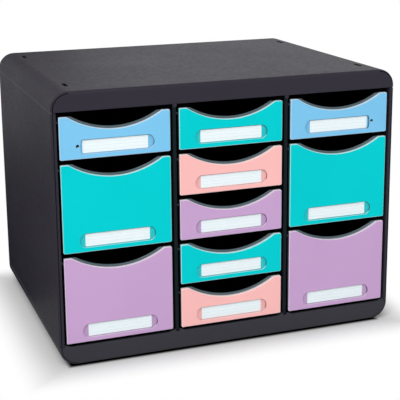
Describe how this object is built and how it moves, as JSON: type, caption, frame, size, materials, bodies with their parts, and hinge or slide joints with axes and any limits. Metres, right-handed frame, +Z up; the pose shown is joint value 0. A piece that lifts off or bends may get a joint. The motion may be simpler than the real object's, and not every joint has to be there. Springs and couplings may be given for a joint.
{
  "type": "drawer box",
  "caption": "Desktop drawer box: a black moulded case with rounded edges and small and large sliding drawers with coloured, finger-grip fronts and label pockets.",
  "frame": {"origin": "centre of the footprint, on the surface that the feet stand on", "axes": "+X to the right seen from the front, the drawer fronts face -Y, +Z up"},
  "size_m": [0.355, 0.27, 0.271],
  "materials": {
    "case_plastic": "fine-grained black, matte",
    "wall_plastic": "smooth black, satin",
    "tray_plastic": "smooth black, satin",
    "blue_front": "satin light blue",
    "turquoise_front": "satin turquoise",
    "peach_front": "satin peach",
    "purple_front": "satin pale purple",
    "label_card": "white card",
    "label_window": "clear, glossy",
    "rubber": "matt black"
  },
  "bodies": {
    "case": {"top_cover": "case_plastic", "base": "case_plastic", "left_side_panel": "case_plastic", "right_side_panel": "case_plastic", "back_panel": "wall_plastic", "left_partition": "wall_plastic", "right_partition": "wall_plastic", "feet": "rubber"},
    "left_top_drawer": {"left_top_tray": "tray_plastic", "left_top_front": "blue_front", "left_top_label": "label_card", "left_top_window": "label_window"},
    "left_middle_drawer": {"left_middle_tray": "tray_plastic", "left_middle_front": "turquoise_front", "left_middle_label": "label_card", "left_middle_window": "label_window"},
    "left_bottom_drawer": {"left_bottom_tray": "tray_plastic", "left_bottom_front": "purple_front", "left_bottom_label": "label_card", "left_bottom_window": "label_window"},
    "centre_1_drawer": {"centre_1_tray": "tray_plastic", "centre_1_front": "turquoise_front", "centre_1_label": "label_card", "centre_1_window": "label_window"},
    "centre_2_drawer": {"centre_2_tray": "tray_plastic", "centre_2_front": "peach_front", "centre_2_label": "label_card", "centre_2_window": "label_window"},
    "centre_3_drawer": {"centre_3_tray": "tray_plastic", "centre_3_front": "purple_front", "centre_3_label": "label_card", "centre_3_window": "label_window"},
    "centre_4_drawer": {"centre_4_tray": "tray_plastic", "centre_4_front": "turquoise_front", "centre_4_label": "label_card", "centre_4_window": "label_window"},
    "centre_5_drawer": {"centre_5_tray": "tray_plastic", "centre_5_front": "peach_front", "centre_5_label": "label_card", "centre_5_window": "label_window"},
    "right_top_drawer": {"right_top_tray": "tray_plastic", "right_top_front": "blue_front", "right_top_label": "label_card", "right_top_window": "label_window"},
    "right_middle_drawer": {"right_middle_tray": "tray_plastic", "right_middle_front": "turquoise_front", "right_middle_label": "label_card", "right_middle_window": "label_window"},
    "right_bottom_drawer": {"right_bottom_tray": "tray_plastic", "right_bottom_front": "purple_front", "right_bottom_label": "label_card", "right_bottom_window": "label_window"}
  },
  "joints": [
    {"name": "left_top_slide", "type": "slide", "parent": "case", "child": "left_top_drawer", "axis": [0, -1, 0], "range_m": [0, 0.18]},
    {"name": "left_middle_slide", "type": "slide", "parent": "case", "child": "left_middle_drawer", "axis": [0, -1, 0], "range_m": [0, 0.18]},
    {"name": "left_bottom_slide", "type": "slide", "parent": "case", "child": "left_bottom_drawer", "axis": [0, -1, 0], "range_m": [0, 0.18]},
    {"name": "centre_1_slide", "type": "slide", "parent": "case", "child": "centre_1_drawer", "axis": [0, -1, 0], "range_m": [0, 0.18]},
    {"name": "centre_2_slide", "type": "slide", "parent": "case", "child": "centre_2_drawer", "axis": [0, -1, 0], "range_m": [0, 0.18]},
    {"name": "centre_3_slide", "type": "slide", "parent": "case", "child": "centre_3_drawer", "axis": [0, -1, 0], "range_m": [0, 0.18]},
    {"name": "centre_4_slide", "type": "slide", "parent": "case", "child": "centre_4_drawer", "axis": [0, -1, 0], "range_m": [0, 0.18]},
    {"name": "centre_5_slide", "type": "slide", "parent": "case", "child": "centre_5_drawer", "axis": [0, -1, 0], "range_m": [0, 0.18]},
    {"name": "right_top_slide", "type": "slide", "parent": "case", "child": "right_top_drawer", "axis": [0, -1, 0], "range_m": [0, 0.18]},
    {"name": "right_middle_slide", "type": "slide", "parent": "case", "child": "right_middle_drawer", "axis": [0, -1, 0], "range_m": [0, 0.18]},
    {"name": "right_bottom_slide", "type": "slide", "parent": "case", "child": "right_bottom_drawer", "axis": [0, -1, 0], "range_m": [0, 0.18]}
  ]
}
